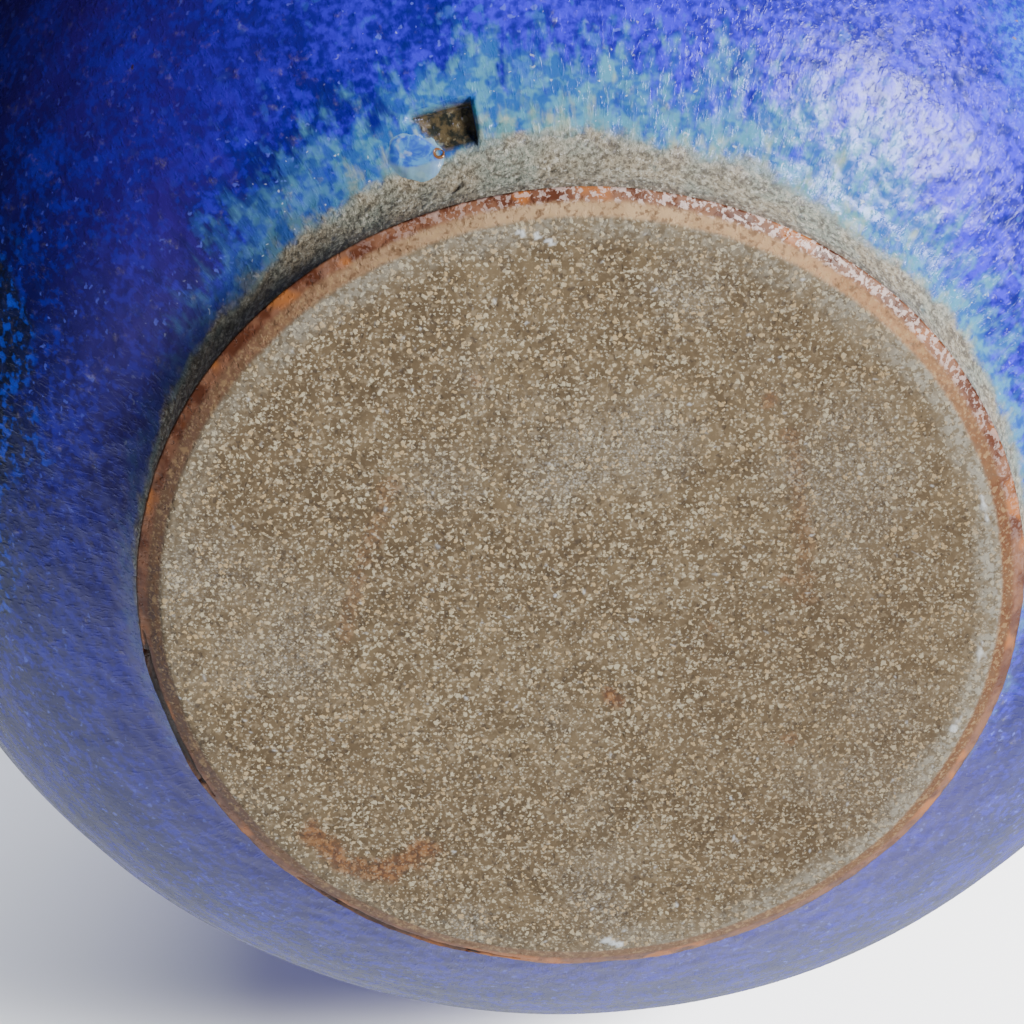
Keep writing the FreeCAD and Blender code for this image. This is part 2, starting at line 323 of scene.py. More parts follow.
def pit_places():
    """Middle and radius of each burst pit."""
    places = [outline(d) for d in np.linspace(0, 2 * HOLLOW.length, 40)]
    heights, radii = [p[1] for p in places], [p[0] for p in places]
    for turn, height, radius in BAND_PITS:
        reach = np.interp(height * MM, heights, radii)
        angle = math.radians(turn)
        yield np.array([reach * math.sin(angle), -reach * math.cos(angle), height * MM]), radius * MM


def pits_in(points):
    """Depth of the burst pits in the thin glaze, with a low wall round each."""
    depth = np.zeros(points.shape[:2])
    for place, radius in pit_places():
        away = np.linalg.norm(points - place, axis=-1) / radius
        depth -= 0.35 * MM * (1 - smooth_step(away, 0.35, 1))
        depth += 0.08 * MM * np.exp(-((away - 1.25) ** 2) / 0.06)
    return depth


def swell_of(points, turn, distance):
    """How far the glaze stands off its nominal surface, in metres, at every point of a grid."""
    body = smooth_step(distance, 14 * MM, 40 * MM)
    near_lip = smooth_step(distance, OUTLINE_LENGTH - 30 * MM, OUTLINE_LENGTH - 12 * MM)
    ridge = np.sin(TAU * distance / RIDGE_SPACING + turn + 2.2 * rough(points, 45 * MM, 1, 5))
    lumps = 0.13 * rough(points, 2.4 * MM, 2, 1) + 0.07 * rough(points, 1 * MM, 1, 2)
    swell = -0.36 + 0.38 * glaze_edge(points, distance)
    swell += lumps * (1 - body) + 0.12 * rough(points, 26 * MM, 2, 4)
    swell += 0.11 * ridge * body * (1 - near_lip)
    swell -= 0.25 * (1 - smooth_step(distance, 0, 0.9 * MM))
    swell = np.maximum(swell * MM + pits_in(points), -0.7 * MM)
    dip = seal_dip(points, turn, distance)
    return np.where(dip > 0, swell * (1 - 0.7 * np.minimum(dip, 1)) - dip * MM, swell)


def coat_step(distance):
    """Row spacing of the thick coat: finest by the foot, fine at the lip."""
    from_foot = distance - HOLLOW.length
    to_crest = OUTLINE_LENGTH - distance
    return min(FINEST_STEP + 0.055 * from_foot, 0.5 * MM + 0.16 * to_crest, WIDEST_STEP)


def make_outer_skins():
    """The foot's thin band and the thick coat: one grid, cut in two where the design cuts it."""
    turns = skin_turns()
    band = steps(0, HOLLOW.length, lambda distance: FINEST_STEP)
    seal_top = HOLLOW.length + SEAL_LENGTH / 2
    coat = snap(steps(HOLLOW.length, OUTLINE_LENGTH, coat_step), [seal_top - SEAL_BORDER, seal_top])
    distances = np.concatenate([band, coat[1:]])
    turn, distance = np.meshgrid(turns, distances)
    nominal, normals = place_on([outline(d) for d in distances], turns)
    dip = np.minimum(seal_dip(nominal, turn, distance), 1)
    outer = nominal + normals * swell_of(nominal, turn, distance)[..., None]
    inner = nominal - normals * (GLAZE + 0.88 * MM * dip)[..., None]
    shown = grid_normals(outer)
    cut = len(band) - 1
    skins = []
    for name, rows in (("foot_glaze_skin", slice(cut + 1)), ("glaze_coat_skin", slice(cut, None))):
        skins.append(turned_shell(name, outer[rows], inner[rows]))
        join_smoothly(skins[-1], shown[rows])
    return skins


LINER_COLUMNS = 260
FINGER_SPACING = 9 * MM


def liner_profile(inset, lip_radius):
    """Outline of the inside, that deep under the outside, from the floor up to the crest of the lip."""
    floor_shares = np.linspace(0.04, 1, 24)[:-1]
    rows = [(LOWER.centre[0] * share, BOTTOM_HEIGHT + inset, 0, -1) for share in floor_shares]
    for arc, count in ((LOWER_FROM_FLOOR, 40), (SHOULDER, 44), (NECK, 26)):
        rows += [arc.at(share, inset) for share in np.linspace(0, 1, count)[:-1]]
    rows.append(NECK.at(1, inset))
    inner_lip = Arc(LIP.centre, lip_radius, LIP.end + math.pi / 2, LIP.end, 1)
    return rows + [inner_lip.at(share, 0) for share in np.linspace(0, 1, 9)[1:]]


def make_liner():
    """The glaze inside: from the middle of the floor up to the crest of the lip, with finger rings."""
    turns = np.linspace(-math.pi, math.pi, LINER_COLUMNS, endpoint=False)
    depth = GLAZE + WALL
    back, _ = place_on(liner_profile(depth, WALL / 2), turns)
    face, normals = place_on(liner_profile(depth + GLAZE, WALL / 2 + GLAZE), turns)
    height = face[..., 2]
    on_floor = LOWER.centre[0] - np.minimum(np.linalg.norm(face[..., :2], axis=-1), LOWER.centre[0])
    ring = np.sin(TAU * (height + 0.6 * on_floor) / FINGER_SPACING + turns)
    quiet = smooth_step(height, cad_high.z - 22 * MM, cad_high.z - 8 * MM)
    wave = 0.22 * ring * (1 - quiet) + 0.12 * rough(face, 14 * MM)
    face = face + normals * (wave * MM * (1 - quiet))[..., None]
    low_pole = (0, 0, BOTTOM_HEIGHT + depth + GLAZE)
    high_pole = (0, 0, BOTTOM_HEIGHT + depth)
    made = turned_solid("liner_skin", np.concatenate([face, back[::-1]]), low_pole, high_pole)
    made.data.flip_normals()
    return made


# The bare foot.

FOOT_COLUMNS = 600
FLAT_RINGS = 108
SLOT_RADIUS = 49.55

# Dark pits in the underside: place in mm, radius in mm.
FOOT_PITS = (
    (21.2, -34.9, 0.5),
    (23.9, -33.5, 0.42),
    (-23.2, -27.8, 0.4),
    (-22.3, -17.2, 0.35),
    (-17.5, 8.5, 0.45),
    (-12.7, 42.9, 0.7),
    (32.8, 12.5, 0.4),
    (-27.9, 19.7, 0.35),
    (-18.6, 27, 0.35),
    (5, 16.8, 0.3),
)
# Raised white crusts at the edge of the underside: place and half-size in mm, and their slant in degrees.
FOOT_CRUSTS = (
    (-6.2, -45.4, 2.4, 0.5, 12),
    (-3.6, -44.4, 1.3, 0.4, 25),
    (4, 45.6, 2.2, 0.8, 20),
    (43.2, 15.6, 0.7, 1.4, 20),
    (45.2, 6.5, 0.6, 2.4, 5),
    (44.4, -12.5, 0.6, 2.4, -15),
)
# Slots where the foot's edge stands clear of the glaze: turns of their ends and half-width in mm.
EDGE_SLOTS = ((-121, -94, 0.62), (-172, -138, 0.4))


def crust_at(x, y):
    """0 to 1: where the raised white crusts are. The unevenness comes from noise added by the caller."""
    cover = np.zeros_like(x)
    for middle_x, middle_y, long, wide, slant in FOOT_CRUSTS:
        cosine, sine = math.cos(math.radians(slant)), math.sin(math.radians(slant))
        along = (x - middle_x) * cosine + (y - middle_y) * sine
        across = (y - middle_y) * cosine - (x - middle_x) * sine
        cover = np.maximum(cover, 1 - smooth_step(np.hypot(along / long, across / wide), 0.5, 1))
    return cover


def edge_slot_at(points):
    """0 to 1: where the two slots run round the outer edge of the bevel. The materials paint shade in them.
    """
    turn = np.degrees(turn_of(points))
    away = np.abs(np.linalg.norm(points[..., :2], axis=-1) / MM - SLOT_RADIUS)
    cover = np.zeros_like(away)
    for first, last, half in EDGE_SLOTS:
        share = np.clip((turn - first) / (last - first), 0, 1)
        width = half * np.sin(math.pi * share) ** 0.6
        slot = (1 - smooth_step(away, width * 0.55, width + 1e-6)) * (width > 0.02)
        cover = np.maximum(cover, slot)
    return cover


def underside_relief(points):
    """How far the underside stands up from its plane, in mm, into the clay."""
    x, y = points[..., 0] / MM, points[..., 1] / MM
    rise = 0.05 * rough(points, 11 * MM, 2, 1) + 0.035 * rough(points, 2.2 * MM, 2, 2)
    rise += 0.03 * rough(points, 0.9 * MM, 1, 7)
    wire_marks = np.sin(TAU * np.hypot(x - 1.5, y + 3) / 1.9)
    rise += 0.016 * wire_marks * np.clip(0.5 + rough(points, 20 * MM, 1, 6), 0, 1)
    for pit_x, pit_y, radius in FOOT_PITS:
        away = np.hypot(x - pit_x, y - pit_y) / radius
        rise += 0.42 * (1 - smooth_step(away, 0.25, 1))
    ragged = np.clip(crust_at(x, y) * 1.5 + 0.8 * rough(points, 0.9 * MM, 2, 8) - 0.4, 0, 1)
    rise -= 0.16 * ragged * (np.hypot(x, y) < 47.5)
    return rise + 0.05


def foot_rows():
    """Outline of the foot: flat, bevel, groove and the hidden rest. Also how many of its rows show."""
    rows = [(radius, 0, 0, -1) for radius in np.linspace(0.4 * MM, FLAT_RADIUS, FLAT_RINGS)]
    bevel_width = FOOT_RADIUS - FLAT_RADIUS
    slant = math.atan2(bevel_width, BEVEL_HEIGHT)
    for share in np.linspace(0, 1, 15)[1:]:
        place = (FLAT_RADIUS + bevel_width * share, BEVEL_HEIGHT * share)
        rows.append((*place, math.cos(slant), -math.sin(slant)))
    for share in np.linspace(0, 1, 4)[1:]:
        height = BEVEL_HEIGHT + (GROOVE_TOP - BEVEL_HEIGHT) * share
        rows.append((FOOT_RADIUS - GLAZE * share, height, 1, 0))
    shown = len(rows)
    rows.append((FOOT_RADIUS - GLAZE, SEAT_HEIGHT, 1, 0))
    rows += [(radius, height, 0, 1) for radius, height in SEAT_STEPS]
    inset = GLAZE + WALL
    last_step = SEAT_STEPS[-1][0]
    step_share = math.asin((last_step - LOWER.centre[0]) / (LOWER_ARC - inset)) / (math.pi / 2)
    rows += [LOWER_FROM_FLOOR.at(share, inset) for share in np.linspace(step_share, 0, 4)]
    return rows, shown


def make_foot():
    """The foot slab: worn flat, bevel, shadow groove, and the hidden seat and floor above."""
    turns = np.linspace(-math.pi, math.pi, FOOT_COLUMNS, endpoint=False)
    rows, shown = foot_rows()
    rings, normals = place_on(rows, turns)
    radius = np.linalg.norm(rings[..., :2], axis=-1) / MM
    wander = rough(rings, 9 * MM, 2, 11)
    edge = np.exp(-((radius - FLAT_RADIUS / MM) ** 2) / 1.2)
    rim = smooth_step(radius, 47.2, 49.6)
    inward = underside_relief(rings) * (1 - smooth_step(radius, 46.2, 47.4))
    inward += edge * (0.12 + 0.1 * wander)
    inward += rim * (0.18 * wander + 0.09 * rough(rings, 0.8 * MM, 1, 12) + 0.04)
    inward += 0.45 * edge_slot_at(rings)
    inward[shown:] = 0
    rings = rings - normals * (inward * MM)[..., None]
    low_pole = (0, 0, rings[0, :, 2].mean())
    return turned_solid("foot_clay", rings, low_pole, (0, 0, BOTTOM_HEIGHT + GLAZE + WALL))


# The pool in the seal. Places are in mm from the seal's middle: across to the right, and up the wall.

POOL_STEP = 0.13
CRATER = (0.35, -1.9)


def pool_reach(across, up):
    """0 at the pool's middle and about 1 at its shore, which leans to the left."""
    return np.hypot((across + 2.3 + 0.3 * (up + 1.5)) / 3.1, (up + 1.6) / 2.9)


def make_pool():
    """The glaze that ran into the left half of the seal: a lens that lies on the skin, with a crater."""
    columns = np.arange(-7, 2.4, POOL_STEP)
    rows = np.arange(-5.6, 2.8, POOL_STEP)
    radius = SEAL_RADIUS / MM
    turns = columns / radius - SEAL_TURN
    distances = HOLLOW.length + rows * MM
    nominal, normals = place_on([outline(d) for d in distances], turns)
    skin = swell_of(nominal, *np.meshgrid(turns, distances)) / MM
    across, up = np.meshgrid(columns, rows)
    reach = pool_reach(across, up) + 0.13 * rough(nominal, 2.1 * MM, 2, 17)
    thickness = 0.34 * (1 - smooth_step(reach, 0.55, 1.12)) - 0.1
    level = np.minimum(skin, -0.02) * (1 - 0.85 * (1 - smooth_step(reach, 0.45, 1)))
    top = np.where(reach < 1.12, np.maximum(level, skin) + thickness, skin - 0.1)
    crater = np.hypot(across - CRATER[0], up - CRATER[1])
    top -= 0.42 * (1 - smooth_step(crater, 0.12, 0.42)) - 0.12 * np.exp(-((crater - 0.55) ** 2) / 0.02)
    there = top > skin - 0.08
    beside = np.roll(there, -1, axis=1)
    kept = there[:-1] & there[1:] & beside[:-1] & beside[1:]
    kept[:, -1] = False
    outer = nominal + normals * (top * MM)[..., None]
    inner = nominal + normals * ((np.minimum(skin, top) - 0.12) * MM)[..., None]
    made = turned_shell("seal_pool", outer, inner, kept)
    points = points_of(made)
    middle = nominal[np.abs(rows - CRATER[1]).argmin(), np.abs(columns - CRATER[0]).argmin()]
    burnt = 1 - smooth_step(np.linalg.norm(points - middle, axis=-1) / MM, 0.5, 0.85)
    _, seal_height, along, _ = outline(HOLLOW.length)
    up_wall = (points[:, 2] - seal_height) / MM / along
    shore = pool_reach((turn_of(points) + SEAL_TURN) * radius, up_wall)
    keep_marks(made, burnt, smooth_step(shore, 0.62, 1))
    return made


# Materials.

# Radius in mm of the round on which noise with streaks is read, so that its features keep their width.
STREAK_RADIUS = 54


class Value:
    """The output of a node, so that formulas can be written with + - * and /."""

    def __init__(self, graph, socket):
        self.graph = graph
        self.socket = socket

    def __add__(self, other):
        return self.graph.math("ADD", self, other)

    def __sub__(self, other):
        return self.graph.math("SUBTRACT", self, other)

    def __rsub__(self, other):
        return self.graph.math("SUBTRACT", other, self)

    def __mul__(self, other):
        return self.graph.math("MULTIPLY", self, other)

    def __truediv__(self, other):
        return self.graph.math("DIVIDE", self, other)

    __radd__ = __add__
    __rmul__ = __mul__

    def clamped(self):
        """The same value, held between 0 and 1."""
        self.socket.node.use_clamp = True
        return self


class Nodes:
    """Shorthand for the nodes of a material or a world. An input is a number, a colour or a Value."""

    def __init__(self, owner):
        owner.use_nodes = True
        self.owner = owner
        self.tree = owner.node_tree
        self.tree.nodes.clear()

    def node(self, kind, inputs, **settings):
        """A new node, with its inputs set by number or by name."""
        made = self.tree.nodes.new(kind)
        for key, value in settings.items():
            setattr(made, key, value)
        for key, value in inputs.items():
            socket = made.inputs[key]
            if isinstance(value, Value):
                self.tree.links.new(value.socket, socket)
            elif isinstance(value, tuple) and socket.type == "RGBA":
                socket.default_value = (*value, 1)
            else:
                socket.default_value = value
        return made

    def add(self, kind, inputs=None, output=0, **settings):
        """One output of a new node."""
        return Value(self, self.node(kind, inputs or {}, **settings).outputs[output])

    def split(self, kind, value):
        """The three parts of a place or a colour."""
        return [Value(self, socket) for socket in self.node(kind, {0: value}).outputs[:3]]

    def math(self, operation, a, b=0.5):
        return self.add("ShaderNodeMath", {0: a, 1: b}, operation=operation)

    def step(self, value, low, high, first=0, last=1):
        """A smooth change from first to last, as value goes from low to high."""
        inputs = dict(enumerate((value, low, high, first, last)))
        return self.add("ShaderNodeMapRange", inputs, interpolation_type="SMOOTHSTEP")

    def finish(self, shader):
        """Ends the material or the world with that shader."""
        kind = "World" if isinstance(self.owner, bpy.types.World) else "Material"
        self.node(f"ShaderNodeOutput{kind}", {"Surface": shader})
        return self.owner


class Graph(Nodes):
    """The nodes of a piece's material. Places are in millimetres in the frame."""

    def __init__(self, name):
        super().__init__(bpy.data.materials.new(name))
        self.place = self.scaled(self.add("ShaderNodeTexCoord", output="Object"), 1 / MM)
        self.x, self.y, self.z = self.split("ShaderNodeSeparateXYZ", self.place)
        self.level_place = self.vector("MULTIPLY", self.place, (1, 1, 0))
        self.radius = self.add("ShaderNodeVectorMath", {0: self.level_place}, "Value", operation="LENGTH")
        self.turn = self.math("ARCTAN2", self.x, self.y * -1)

    def vector(self, operation, a, b=(0, 0, 0)):
        return self.add("ShaderNodeVectorMath", {0: a, 1: b}, operation=operation)

    def scaled(self, place, scale):
        return self.add("ShaderNodeVectorMath", {0: place, "Scale": scale}, operation="SCALE")

    def bell(self, value, centre, width):
        """1 at the centre, and down to 0 that far from it."""
        return self.step(self.math("ABSOLUTE", value - centre), 0, width, 1, 0)

    def side(self, middle, reach):
        """1 at a turn in degrees, and down to 0 that many degrees to either side."""
        return self.bell(self.turn, math.radians(middle), math.radians(reach))

    def mix(self, share, a, b):
        return self.add("ShaderNodeMix", {0: share, 6: a, 7: b}, 2, data_type="RGBA")

    def between(self, value, low, high, a, b):
        """Colour a where the value is low, and colour b where it is high."""
        return self.mix(self.step(value, low, high), a, b)

    def ramp(self, value, stops):
        node = self.node("ShaderNodeValToRGB", {0: value})
        elements = node.color_ramp.elements
        while len(elements) < len(stops):
            elements.new(1)
        for element, (position, colour) in zip(elements, stops):
            element.position = position
            element.color = (*colour, 1)
        return Value(self, node.outputs[0])

    def shifted(self, seed):
        return self.vector("ADD", self.place, (seed * 13.1, seed * 7.7, seed * 5.3))

    def noise_at(self, place, scale, detail, roughness, warp=0, output=0):
        inputs = {"Vector": place, "Scale": scale, "Detail": detail, "Roughness": roughness}
        inputs["Distortion"] = warp
        return self.add("ShaderNodeTexNoise", inputs, output)

    def noise(self, size, seed, detail=2, roughness=0.5, warp=0):
        """Noise about 0.5, with features of about size mm."""
        return self.noise_at(self.shifted(seed), 0.5 / size, detail, roughness, warp)

    def streaked(self, size, length, seed):
        """Noise about 0.5 whose features run up the wall: size mm wide and length mm high."""
        around = self.scaled(self.vector("NORMALIZE", self.level_place), STREAK_RADIUS)
        upward = self.add("ShaderNodeCombineXYZ", {2: self.z * (size / length)})
        place = self.vector("ADD", self.vector("ADD", around, upward), (seed * 3.1, seed, seed * 1.7))
        return self.noise_at(place, 0.5 / size, 3, 0.6)

    def ragged(self, seed, spacing):
        """The place, shaken a little, so that what is drawn there gets an uneven outline."""
        shake = self.noise_at(self.shifted(seed + 0.5), 1.6 / spacing, 1, 0.5, output="Color")
        centred = self.vector("SUBTRACT", shake, (0.5, 0.5, 0.5))
        return self.vector("ADD", self.shifted(seed), self.scaled(centred, 1.1 * spacing))

    def specks(self, spacing, least, most, seed, share, soft=0.35, flat=False):
        """0 to 1: grains of least to most mm radius, one in each cell; share of the cells have one.
        flat spreads them over a level face, so that no grain lies above or below it."""
        inputs = {"Vector": self.ragged(seed, spacing), "Scale": 1 / spacing}
        cell = self.node("ShaderNodeTexVoronoi", inputs, voronoi_dimensions="2D" if flat else "3D")
        size_draw, share_draw, _ = self.split("ShaderNodeSeparateColor", Value(self, cell.outputs["Color"]))
        size = size_draw * ((most - least) / spacing) + least / spacing
        inside = Value(self, cell.outputs["Distance"]) / size
        grain = self.step(inside, 1 - soft, 1 + soft, 1, 0)
        return grain * self.step(share_draw, share - 0.01, share + 0.01, 1, 0)

    def marks(self):
        """The three numbers kept at each point of the mesh."""
        marks = self.add("ShaderNodeAttribute", output="Color", attribute_name="marks")
        return self.split("ShaderNodeSeparateColor", marks)

    def bump(self, height, depth, strength, under=None):
        """A bump whose height of 1 stands for that depth in mm, on top of another bump if one is given."""
        inputs = {"Strength": strength, "Distance": depth * MM, "Height": height}
        if under:
            inputs["Normal"] = under
        return self.add("ShaderNodeBump", inputs)

    def dress(self, colour, roughness, normal, **more):
        """The finished material. more holds the shader's other inputs, with _ for each space."""
        inputs = {"Base Color": colour, "Roughness": roughness, "Normal": normal}
        inputs.update({name.replace("_", " "): value for name, value in more.items()})
        return self.finish(self.add("ShaderNodeBsdfPrincipled", inputs))


def keep_marks(made, *columns):
    """Keeps up to three numbers for each point of the mesh, for its material to read."""
    mesh = made.data
    values = np.ones((len(mesh.vertices), 4), np.float32)
    for place, column in enumerate(columns):
        values[:, place] = column
    layer = mesh.attributes.new("marks", "FLOAT_COLOR", "POINT")
    layer.data.foreach_set("color", values.ravel())


def points_of(made):
    values = np.zeros(len(made.data.vertices) * 3)
    made.data.vertices.foreach_get("co", values)
    return values.reshape(-1, 3)


# Rust-brown stains: points along each in mm, half-width in mm and strength.
RUST_STAINS = (
    (((-31.3, 29.3), (-27.5, 34), (-22.7, 35.3), (-17.3, 32)), 1.5, 1),
    (((-21.3, -16), (-24.5, -6.5), (-26.7, 3.3)), 1.1, 0.35),
    (((22.7, -21.3), (24.4, -11), (25.3, -1.3)), 1.2, 0.4),
    (((3.4, 11.5), (4.1, 12)), 1.2, 1),
    (((20, -26.2), (20.2, -25.6)), 0.9, 0.6),
    (((23, -3.8), (23.2, -3.2)), 0.9, 0.6),
    (((14.4, 1.7), (14.7, 2.1)), 0.8, 0.5),
    (((24, 17.4), (24.2, 18)), 0.9, 0.5),
    (((-12.2, -28.8), (-11.8, -28.5)), 0.8, 0.5),
)
# Grey haze on the underside: centre and half-width in mm, and strength.
HAZE_PATCHES = (
    (-42, -7, 6, 0.3),
    (-36, -5, 5, 0.25),
    (-15, -16, 5, 0.35),
    (-4, -15, 4, 0.35),
    (8, -21, 5, 0.35),
    (11, -39, 5, 0.5),
    (-12.7, 42.9, 3, 0.7),
)


def distance_to_line(x, y, line):
    """Distance in mm from each place to a line through some points."""
    nearest = np.full_like(x, 1e9)
    for (ax, ay), (bx, by) in zip(line[:-1], line[1:]):
        along = ((x - ax) * (bx - ax) + (y - ay) * (by - ay)) / ((bx - ax) ** 2 + (by - ay) ** 2)
        share = np.clip(along, 0, 1)
        nearest = np.minimum(nearest, np.hypot(x - ax - share * (bx - ax), y - ay - share * (by - ay)))
    return nearest


def mark_foot(made):
    """Keeps where the underside has rust, haze and white crust, and the bevel its slots."""
    points = points_of(made)
    x, y = points[:, 0] / MM, points[:, 1] / MM
    ragged = rough(points, 1.6 * MM, 2, 21)
    rust = np.zeros_like(x)
    for line, half, strength in RUST_STAINS:
        away = distance_to_line(x, y, line) + 0.9 * ragged
        rust = np.maximum(rust, strength * (1 - smooth_step(away, half * 0.3, half * 1.25)))
    haze = np.zeros_like(x)
    for patch_x, patch_y, half, strength in HAZE_PATCHES:
        away = np.hypot(x - patch_x, y - patch_y) + 2 * ragged
        haze = np.maximum(haze, strength * (1 - smooth_step(away, half * 0.3, half * 1.2)))
    crust = np.clip(crust_at(x, y) * 1.5 + 1.3 * rough(points, 0.8 * MM, 2, 8) - 0.7, 0, 1)
    edge_marks = (crust + 2 * edge_slot_at(points)) * (points[:, 2] < SEAT_HEIGHT)
    below = points[:, 2] < BEVEL_HEIGHT
    keep_marks(made, rust * below, haze * below, edge_marks)


def mark_skin(made):
    """Keeps how thick the glaze is, where its burst pits are, and where the seal's floor is bare."""
    points = points_of(made)
    radius, height = np.hypot(points[:, 0], points[:, 1]), points[:, 2]
    in_hollow = HOLLOW.radius * np.arctan2(height - HOLLOW.centre[1], HOLLOW.centre[0] - radius)
    sink = np.arctan2(LOWER.centre[1] - height, np.maximum(radius - LOWER.centre[0], 1e-6))
    above = HOLLOW.length + LOWER_ARC * (-LOWER.start - sink)
    distance = np.where(height < HOLLOW.at(1, 0)[1], in_hollow, above)
    pits = np.zeros(len(points))
    for place, size in pit_places():
        away = np.linalg.norm(points - place, axis=-1) / size
        pits = np.maximum(pits, 1 - smooth_step(away, 0.7, 1.25))
    dip = seal_dip(points, turn_of(points), distance)
    keep_marks(made, glaze_edge(points, distance), pits, smooth_step(dip, 0.25, 0.8))


# Ash and toasting round the foot: share of the way round, from 0 at the back over 0.5 in front to 1 at the
# back again, and the amount or the colour there.
ASH_ROUND = ((0, 0.2), (0.25, 0.1), (0.4, 0.6), (0.55, 0.45), (0.68, 1), (0.84, 0.9), (1, 0.3))
TOAST_ROUND = (
    (0, (0.17, 0.092, 0.05)),
    (0.13, (0.14, 0.08, 0.06)),
    (0.25, (0.066, 0.038, 0.034)),
    (0.38, (0.185, 0.092, 0.05)),
    (0.46, (0.4, 0.26, 0.145)),
    (0.52, (0.48, 0.315, 0.17)),
    (0.6, (0.35, 0.185, 0.085)),
    (0.7, (0.108, 0.034, 0.009)),
    (0.86, (0.12, 0.05, 0.018)),
    (1, (0.17, 0.092, 0.05)),
)


def clay_ground(g, wide, fine, grain, pale, rust):
    """The clay between the grains: taupe, greyer in the haze and brown in the rust."""
    ground = g.between(wide, 0.35, 0.65, (0.106, 0.07, 0.034), (0.136, 0.094, 0.048))
    ground = g.mix(g.step(fine, 0.38, 0.66, 0, 0.75), ground, (0.07, 0.045, 0.022))
    ground = g.mix(g.step(grain, 0.5, 0.66, 0, 0.6), ground, (0.235, 0.178, 0.11))
    ground = g.mix(pale * 0.27, ground, (0.2, 0.185, 0.155))
    rusty = g.between(grain, 0.42, 0.58, (0.08, 0.025, 0.007), (0.215, 0.084, 0.022))
    return g.mix(rust * g.step(fine, 0.3, 0.62, 1, 0.65), ground, rusty)


def add_grog(g, clay, wide, pale, rust, dark, cream, small):
    """Dark, cream and pale grains over the clay. The rust stains hide some of them."""
    dust = g.specks(0.34, 0.06, 0.15, 13, 0.7, 0.3, flat=True) * (pale * 0.9).clamped()
    unstained = 1 - rust * g.step(wide, 0.42, 0.6, 0.6, 0.8)
    clay = g.mix(dark * 0.6, clay, (0.045, 0.03, 0.02))
    clay = g.mix(small * 0.62 * unstained, clay, (0.39, 0.335, 0.245))
    cream_colour = g.between(g.noise(1.1, 14, 1), 0.38, 0.62, (0.41, 0.29, 0.15), (0.44, 0.375, 0.255))
    cream_colour = g.mix(rust * 0.7, cream_colour, (0.3, 0.13, 0.04))
    clay = g.mix(cream * 0.88 * (unstained * 0.7 + 0.3), clay, cream_colour)
    return g.mix(dust * 0.6, clay, (0.4, 0.395, 0.37))


def toasted_bevel(g, round_share, fine, grain, small):
    """The bevel: grey-brown on the left, peach in front and orange on the right, with grains."""
    toast = g.ramp(round_share, TOAST_ROUND)
    toast = g.mix(g.step(fine, 0.42, 0.62, 0, 0.32), toast, (0.215, 0.118, 0.058))
    toast = g.mix(g.step(grain, 0.36, 0.5, 0.75, 0), toast, (0.13, 0.066, 0.032))
    toast = g.mix(g.step(grain, 0.52, 0.66, 0, 0.36), toast, (0.43, 0.28, 0.13))
    return g.mix(small * 0.25, toast, (0.45, 0.32, 0.18))


def fired_edge(g, fine):
    """The bevel's outer edge: fired dark red-brown, with orange patches, and pale glints in front."""
    glint = g.step(g.noise(0.3, 9, 2, 0.6), 0.49, 0.58) * g.bell(g.turn, 0.45, 1.25)
    fired = g.between(fine, 0.4, 0.6, (0.095, 0.028, 0.013), (0.205, 0.088, 0.048))
    fired = g.mix(g.step(g.noise(3.4, 10), 0.56, 0.64, 0, 0.8), fired, (0.4, 0.13, 0.03))
    return g.mix(glint * 0.85, fired, (0.68, 0.52, 0.49))


def bare_stoneware():
    """The underside: taupe grogged clay, rust stains, grey haze, ash at the rim, a toasted bevel, and
    painted shade in the groove and slots.
    """
    g = Graph("bare_stoneware")
    rust, haze, edge_marks = g.marks()
    crust = g.bell(edge_marks, 0.9, 0.75)
    slot = g.step(edge_marks, 1.2, 1.8)
    wide = g.noise(9, 1, 3, 0.55)
    fine = g.noise(1.6, 2, 3, 0.6)
    grain = g.noise(0.4, 3, 2, 0.6)
    pale = haze + g.step(g.noise(12, 4, 3, 0.6), 0.52, 0.72, 0, 0.5)
    dark = g.specks(1.05, 0.1, 0.3, 5, 0.55, 0.5, flat=True)
    cream = g.specks(0.82, 0.09, 0.27, 6, 0.7, 0.25, flat=True)
    small = g.specks(0.44, 0.06, 0.16, 7, 0.62, 0.25, flat=True)
    clay = clay_ground(g, wide, fine, grain, pale, rust)
    clay = add_grog(g, clay, wide, pale, rust, dark, cream, small)
    clay = g.mix(g.step(g.x, -5, 40, 0, 0.2), clay, (0.09, 0.054, 0.026))
    clay = g.mix(crust, clay, (0.56, 0.58, 0.6))

    round_share = (g.turn + math.pi) / TAU
    wander = (g.noise(5, 8, 3, 0.6) - 0.5) * 4.2
    flour = g.step(g.noise(0.34, 17, 2, 0.6), 0.44, 0.56, 0.3, 1)
    ash = g.step(g.radius + wander, 43.4, 46.2) * g.ramp(round_share, [(s, (a, a, a)) for s, a in ASH_ROUND])
    ash = ash * g.step(fine, 0.34, 0.56, 0.35, 1) * flour
    clay = g.mix(ash * 0.85, clay, (0.3, 0.28, 0.23))
    rim = g.radius + wander * 0.16
    clay = g.mix(g.step(rim, 46.9, 47.5), clay, toasted_bevel(g, round_share, fine, grain, small))
    clay = g.mix(g.step(rim, 48.3, 49), clay, fired_edge(g, fine))
    # Painted shade over dark red-brown clay: near black in the groove above the bevel, and in the two slots
    # round its edge.
    clay = g.mix(g.step(g.z, 1.75, 2), clay, (0.03, 0.01, 0.006))
    clay = g.mix(slot, clay, (0.022, 0.008, 0.006))

    roughness = g.step(fine, 0.3, 0.7, 0.68, 0.86) + g.step(rim, 48.3, 49.2) * -0.3 + rust * -0.12
    height = g.noise(0.35, 11, 3, 0.65) * 0.5 + cream * 0.35 + dark * -0.5 + crust * 0.4
    coarse = g.bump(g.noise(2.2, 12, 3, 0.6), 0.22, 0.6)
    return g.dress(clay, roughness, g.bump(height, 0.11, 0.8, coarse), Specular_IOR_Level=0.35)


